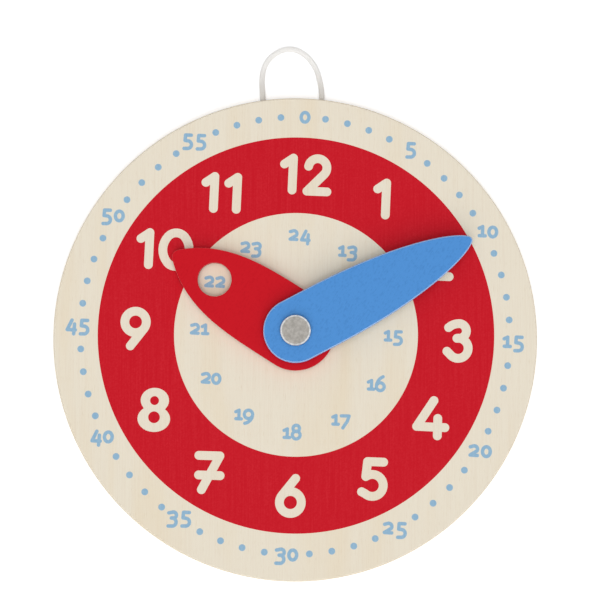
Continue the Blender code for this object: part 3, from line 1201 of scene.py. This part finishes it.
@dataclass
class ClockHand:
    """One painted plywood hand, which turns on the pivot post."""

    name: str
    body: str
    slot: str
    stands_for: str
    finish: Finish
    leaf: Leaf
    bottom: float
    clockwise_degrees: float
    window: tuple[float, float] | None = None
    thickness: float = 4.0 * MM
    rounding: float = 0.7 * MM
    rounding_steps: int = 4
    bore_diameter: float = 6.1 * MM
    pivot: Point = (0.15 * MM, 3.0 * MM)
    overrun: float = 1.0 * MM

    def blank(self) -> bpy.types.Object:
        """Saw out the leaf: extrude a plane row by row, then up to its thickness."""
        rows = self.leaf.rows()
        (_, start), (first, following) = rows[0], rows[1]
        deselect()
        bpy.ops.mesh.primitive_plane_add(size=1.0, location=(0.0, (start + following) / 2, self.bottom))
        hand = bpy.context.object
        hand.name = self.name
        with editing(hand):
            bpy.ops.transform.resize(
                value=(2 * first, following - start, 1.0), center_override=hand.location
            )
            pick(Part.EDGES, lambda edge: all(vert.co.y < 0.0 for vert in edge.verts))
            bpy.ops.mesh.merge(type="CENTER")
            pick(Part.EDGES, lambda edge: all(vert.co.y > 0.0 for vert in edge.verts))
            for (wide, along), (next_wide, next_along) in zip(rows[1:], rows[2:-1]):
                push(y=next_along - along)
                bpy.ops.transform.resize(
                    value=(next_wide / wide, 1.0, 1.0), center_override=(0.0, next_along, self.bottom)
                )
            push(y=rows[-1][1] - rows[-2][1])
            bpy.ops.mesh.merge(type="CENTER")
            bpy.ops.mesh.select_all(action="SELECT")
            bpy.ops.mesh.dissolve_limited(angle_limit=math.radians(0.5), delimit=set())
            bpy.ops.mesh.select_all(action="SELECT")
            push(z=self.thickness)
            bpy.ops.mesh.select_all(action="SELECT")
            bpy.ops.mesh.normals_make_consistent(inside=False)
        choose(hand)
        bpy.ops.object.transform_apply(location=True, rotation=True, scale=True)
        return hand

    def build(self) -> None:
        """Saw, drill, ease and paint the hand, and set it to its hour."""
        hand = self.blank()
        low, high = self.bottom - self.overrun, self.bottom + self.thickness + self.overrun
        carve(hand, rod("bore", self.bore_diameter / 2, low, high, BORE_STEPS))
        if self.window:
            distance, diameter = self.window
            carve(hand, rod("window", diameter / 2, low, high, WIDE_HOLE_STEPS, (0.0, distance)))
        ease(hand, self.rounding, self.rounding_steps)
        hand.rotation_euler.z = -math.radians(self.clockwise_degrees)
        hand.location.xy = self.pivot
        settle(hand)
        hand_over(hand, self.body, (self.finish,), (self.stands_for,))


@dataclass
class PivotPost:
    """Flat-headed hollow post that the hands turn on, with a chamfer round its head."""

    head_diameter: float = 13.6 * MM
    head_bottom: float = 17.3 * MM
    head_top: float = 19.1 * MM
    chamfer: float = 0.8 * MM
    chamfer_steps: int = 3
    chamfer_profile: float = 0.6
    chamfer_slopes: tuple[float, float] = (0.15, 0.995)
    barrel_diameter: float = 5.5 * MM
    barrel_bottom: float = 1.8 * MM
    bore_diameter: float = 4.0 * MM
    bore_depth: float = 9.3 * MM
    pivot: Point = (0.15 * MM, 3.0 * MM)
    steps: int = 128

    def build(self) -> None:
        """Model head, barrel and bore from one rod, and plate them."""
        post = rod(
            "pivot_post_nickel",
            self.head_diameter / 2,
            self.head_bottom,
            self.head_top,
            self.steps,
            self.pivot,
        )
        half = (self.head_top - self.head_bottom) / 2
        with editing(post):
            pick(Part.EDGES, lambda edge: all(vert.co.z > half / 2 for vert in edge.verts))
            bpy.ops.mesh.bevel(
                offset=self.chamfer,
                segments=self.chamfer_steps,
                profile=self.chamfer_profile,
                affect="EDGES",
            )
            pick(Part.FACES, lambda face: face.normal.z < -FLAT)
            bpy.ops.mesh.inset(thickness=(self.head_diameter - self.barrel_diameter) / 2)
            push(z=self.barrel_bottom - self.head_bottom)
            bpy.ops.mesh.inset(thickness=(self.barrel_diameter - self.bore_diameter) / 2)
            push(z=self.bore_depth)
        settle(post)
        hand_over(post, "clock_board", (NICKEL, NICKEL_PAINTED_HIGHLIGHT), ("pivot_post",))
        # The chamfer's sloping faces take the lighter nickel, a painted highlight
        least, most = self.chamfer_slopes
        for face in post.data.polygons:
            face.material_index = int(least < face.normal.z < most)


@dataclass
class HangingCord:
    """Braided cotton loop whose two ends are glued into the rim."""

    diameter: float = 2.6 * MM
    point_step: float = 0.18 * MM
    strands_each_way: int = 6
    strand_radius: float = 0.33 * MM
    strand_rise: float = 0.16 * MM
    lay_length: float = 7.0 * MM
    exit: tuple[float, float, float] = (-14.4 * MM, 106.6 * MM, 3.0 * MM)
    curve_steps: int = 20
    route: tuple[tuple[float, float, float], ...] = (
        (-0.0144, 0.0948, 0.0030), (-0.0144, 0.1008, 0.0030), (-0.0144, 0.1068, 0.0030),
        (-0.0147, 0.1110, 0.0025), (-0.0149, 0.1152, 0.0018), (-0.0146, 0.1193, 0.0014),
        (-0.0136, 0.1227, 0.0013), (-0.0118, 0.1256, 0.0013), (-0.0093, 0.1279, 0.0013),
        (-0.0063, 0.1296, 0.0013), (-0.0032, 0.1303, 0.0013), (-0.0001, 0.1300, 0.0013),
        (0.0029, 0.1287, 0.0013), (0.0058, 0.1264, 0.0013), (0.0082, 0.1234, 0.0013),
        (0.0099, 0.1200, 0.0014), (0.0111, 0.1158, 0.0018), (0.0118, 0.1113, 0.0025),
        (0.0120, 0.1068, 0.0030), (0.0120, 0.1008, 0.0030), (0.0120, 0.0948, 0.0030),
    )

    def centre_line(self) -> list[Vector]:
        """Return even points on a smooth curve through the route."""
        knots = [Vector(point) for point in self.route]
        knots = [2 * knots[0] - knots[1], *knots, 2 * knots[-1] - knots[-2]]
        fine = []
        for before, start, end, after in zip(knots, knots[1:], knots[2:], knots[3:]):
            for part in range(self.curve_steps):
                share = part / self.curve_steps
                fine.append(
                    start
                    + share * (end - before) / 2
                    + share ** 2 * (before - 2.5 * start + 2 * end - after / 2)
                    + share ** 3 * (1.5 * (start - end) + (after - before) / 2)
                )
        fine.append(knots[-2])
        lengths = [0.0]
        for first, second in zip(fine, fine[1:]):
            lengths.append(lengths[-1] + (second - first).length)
        count = round(lengths[-1] / self.point_step)
        line, near = [], 0
        for index in range(count):
            wanted = lengths[-1] * index / count
            while lengths[near + 1] <= wanted:
                near += 1
            rest = (wanted - lengths[near]) / (lengths[near + 1] - lengths[near])
            line.append(fine[near].lerp(fine[near + 1], rest))
        line.append(fine[-1])
        return line

    def frames(self, line: Sequence[Vector]) -> list[tuple[Vector, Vector, Vector]]:
        """Return each point with two directions across the cord that don't twist."""
        across = Vector((0.0, 0.0, 1.0))
        frames = []
        for index, point in enumerate(line):
            ahead = line[min(index + 1, len(line) - 1)] - line[max(index - 1, 0)]
            ahead.normalize()
            across = (across - across.dot(ahead) * ahead).normalized()
            frames.append((point, across, ahead.cross(across)))
        return frames

    def add_yarn(self, curve: bpy.types.Curve, points: Sequence[Vector]) -> None:
        """Add one yarn to the cord's curve."""
        spline = curve.splines.new("POLY")
        spline.points.add(len(points) - 1)
        for point, place in zip(spline.points, points):
            point.co = (*place, 1.0)

    def build(self) -> None:
        line = self.centre_line()
        frames = self.frames(line)
        curve = bpy.data.curves.new("cord_braided", "CURVE")
        curve.dimensions = "3D"
        curve.bevel_depth = self.strand_radius
        curve.bevel_resolution = 1
        curve.use_fill_caps = True
        middle = self.diameter / 2 - self.strand_radius - self.strand_rise
        length = sum((end - start).length for start, end in zip(line, line[1:]))
        for way in (1.0, -1.0):
            for strand in range(self.strands_each_way):
                points = []
                for index, (point, across, beside) in enumerate(frames):
                    turn = math.tau * length * index / (len(line) - 1) / self.lay_length
                    rise = way * self.strand_rise * math.cos(self.strands_each_way * turn)
                    angle = way * turn + math.tau * strand / self.strands_each_way
                    out = across * math.cos(angle) + beside * math.sin(angle)
                    points.append(point + out * (middle + rise))
                self.add_yarn(curve, points)
        yarns = bpy.data.objects.new("cord_braided", curve)
        bpy.context.scene.collection.objects.link(yarns)
        choose(yarns)
        bpy.ops.object.convert(target="MESH")
        cord = bpy.context.object
        bpy.ops.object.shade_smooth()
        hand_over(cord, "clock_board", (COTTON,), ("hanging_cord",))


@dataclass
class Fastenings:
    """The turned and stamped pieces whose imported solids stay, with their finishes."""

    finishes: dict[str, Finish] = field(
        default_factory=lambda: {
            "pivot_screw": NICKEL,
            "back_washer": ZINC,
            "wave_washer": SPRING_STEEL,
            "dial_washer": NYLON,
            "hand_washer": NYLON,
            "head_washer": NYLON,
        }
    )

    def build(self) -> None:
        """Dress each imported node."""
        for node, finish in self.finishes.items():
            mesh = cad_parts[node].data
            mesh.materials.clear()
            mesh.materials.append(finish.material())
            log.info("%s: dressed in %s", node, finish.name)


@dataclass
class Studio:
    """Pale floor, soft light from the lens and from below, and the photograph's camera."""

    floor_half_side: float = 3.0
    floor_colour: str = "#F4F4F4"
    floor_roughness: float = 0.9
    background: float = 1.0
    glow: float = 0.3
    fill: float = 0.35
    # Strength, spread and elevation of each lamp, in degrees
    lamps: tuple[tuple[str, float, float, float], ...] = (
        ("key", 1.08, 60.0, 50.0), ("ring_light", 1.26, 40.0, 86.5),
    )
    camera_distance: float = 1.0
    camera_elevation: float = 86.5
    camera_aim: tuple[float, float, float] = (0.15 * MM, 19.04 * MM, 6.0 * MM)
    lens_mm: float = 136.93
    sensor_mm: float = 36.0

    def off_south(self, elevation: float, distance: float) -> Vector:
        """Return a point above six o'clock at an elevation and distance from the dial."""
        angle = math.radians(elevation)
        return Vector((0.0, -math.cos(angle), math.sin(angle))) * distance

    def build(self) -> None:
        """Set up floor, world, lamp and camera."""
        self.lay_floor()
        self.light()
        self.aim_camera()

    def seen_directly(self, tree: bpy.types.NodeTree) -> bpy.types.NodeSocket:
        """Return 1 where a ray comes from the camera, a reflection or clear matter."""
        path = add_node(tree, "ShaderNodeLightPath")
        sharp = add_node(
            tree,
            "ShaderNodeMath",
            {0: path.outputs["Is Glossy Ray"], 1: path.outputs["Is Transmission Ray"]},
            operation="MAXIMUM",
        )
        return add_node(
            tree,
            "ShaderNodeMath",
            {0: path.outputs["Is Camera Ray"], 1: sharp.outputs[0]},
            operation="MAXIMUM",
        ).outputs[0]

    def lay_floor(self) -> None:
        """Lay a pale floor that the camera sees as white, with the clock's shadow on it."""
        deselect()
        bpy.ops.mesh.primitive_plane_add(size=2 * self.floor_half_side)
        floor = bpy.context.object
        floor.name = "studio_floor"
        material = bpy.data.materials.new("matt white card")
        material.use_nodes = True
        tree = material.node_tree
        shader = tree.nodes["Principled BSDF"]
        shader.inputs["Base Color"].default_value = linear(self.floor_colour)
        shader.inputs["Roughness"].default_value = self.floor_roughness
        glow = add_node(
            tree, "ShaderNodeMath", {0: self.seen_directly(tree), 1: self.glow}, operation="MULTIPLY"
        )
        shader.inputs["Emission Color"].default_value = (1.0, 1.0, 1.0, 1.0)
        tree.links.new(glow.outputs[0], shader.inputs["Emission Strength"])
        floor.data.materials.append(material)

    def light(self) -> None:
        """Fill from all round, with a soft lamp from six o'clock and one at the lens."""
        world = bpy.data.worlds.new("studio")
        world.use_nodes = True
        tree = world.node_tree
        strength = add_node(
            tree,
            "ShaderNodeMapRange",
            {"Value": self.seen_directly(tree), "To Min": self.fill, "To Max": self.background},
        )
        tree.links.new(strength.outputs[0], tree.nodes["Background"].inputs["Strength"])
        tree.nodes["Background"].inputs["Color"].default_value = (1.0, 1.0, 1.0, 1.0)
        bpy.context.scene.world = world

        for name, strength, spread, elevation in self.lamps:
            lamp = bpy.data.lights.new(name, "SUN")
            lamp.energy = strength
            lamp.angle = math.radians(spread)
            sun = bpy.data.objects.new(name, lamp)
            away = self.off_south(elevation, 1.0)
            sun.rotation_euler = away.to_track_quat("Z", "Y").to_euler()
            sun.visible_glossy = False
            bpy.context.scene.collection.objects.link(sun)

    def aim_camera(self) -> None:
        """Look straight down on the dial, a little from six o'clock."""
        lens = bpy.data.cameras.new("camera")
        lens.lens = self.lens_mm
        lens.sensor_width = self.sensor_mm
        camera = bpy.data.objects.new("camera", lens)
        away = self.off_south(self.camera_elevation, self.camera_distance)
        camera.location = Vector(self.camera_aim) + away
        camera.rotation_euler = away.to_track_quat("Z", "Y").to_euler()
        bpy.context.scene.collection.objects.link(camera)
        bpy.context.scene.camera = camera


HOUR_HAND = ClockHand(
    name="hour_hand_red",
    body="hour_hand_body",
    slot="red_hand",
    stands_for="hour_hand",
    finish=RED_PAINT,
    leaf=Leaf(65.3 * MM, 17.45 * MM, 1.0 * MM, 3.6, 0.91, 0.970),
    bottom=7.1 * MM,
    clockwise_degrees=302.5,
    window=(42.5 * MM, 15.0 * MM),
)
MINUTE_HAND = ClockHand(
    name="minute_hand_blue",
    body="minute_hand_body",
    slot="blue_hand",
    stands_for="minute_hand",
    finish=BLUE_PAINT,
    leaf=Leaf(88.3 * MM, 14.2 * MM, 13.3 * MM, 2.12, 0.64, 0.985),
    bottom=12.2 * MM,
    clockwise_degrees=62.4,
)


def main() -> None:
    """Build the studio, then every sub-assembly of the clock."""
    logging.basicConfig(level=logging.INFO, format="%(name)s: %(message)s")
    bpy.context.scene.view_settings.view_transform = "Standard"
    Studio().build()
    HangingCord().build()
    DialBoard().build()
    PrintedDial().build()
    HOUR_HAND.build()
    MINUTE_HAND.build()
    PivotPost().build()
    Fastenings().build()


if __name__ == "__main__":
    main()
